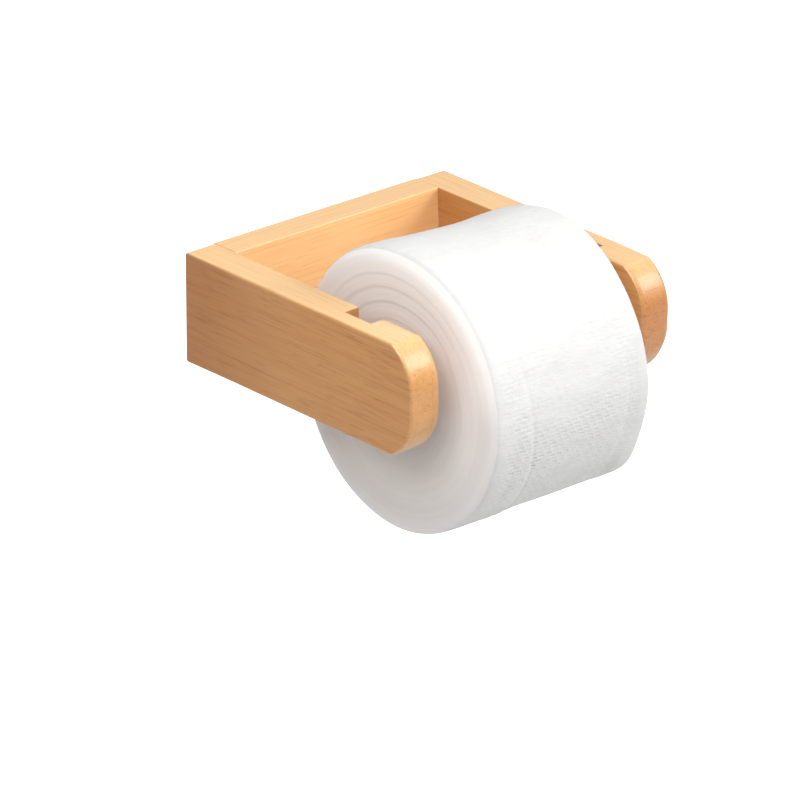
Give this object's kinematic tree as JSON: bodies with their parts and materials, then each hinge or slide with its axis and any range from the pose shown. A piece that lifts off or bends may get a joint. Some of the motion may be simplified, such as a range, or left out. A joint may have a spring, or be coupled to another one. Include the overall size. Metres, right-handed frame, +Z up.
{
  "type": "toilet paper holder",
  "caption": "Wall-mounted bamboo toilet paper holder with round-nosed side arms on a back board, a lift-out dowel roller and a hanging paper roll.",
  "frame": {"origin": "centre of the back board's wall face", "axes": "+Z up, +Y into the wall, +X along the wall towards the right arm as seen from the room"},
  "size_m": [0.16, 0.1796, 0.135],
  "materials": {
    "bamboo_board": "satin",
    "dowel_wood": "matte",
    "roller_wood": "satin",
    "core_card": "matte",
    "tissue": "matte"
  },
  "bodies": {
    "frame": {"back_board": "bamboo_board", "left_arm": "bamboo_board", "right_arm": "bamboo_board", "dowel_left_upper": "dowel_wood", "dowel_left_lower": "dowel_wood", "dowel_right_upper": "dowel_wood", "dowel_right_lower": "dowel_wood"},
    "roller": {"roller_rod": "roller_wood"},
    "roll": {"core_tube": "core_card", "paper_roll": "tissue", "paper_tail": "tissue"}
  },
  "joints": [
    {"name": "roller_lift", "type": "slide", "parent": "frame", "child": "roller", "axis": [0, 0, 1], "range_m": [0, 0.12]},
    {"name": "roll_spin", "type": "hinge", "parent": "roller", "child": "roll", "pos_m": [0, -0.1113, -0.017], "axis": [1, 0, 0], "continuous": true}
  ]
}
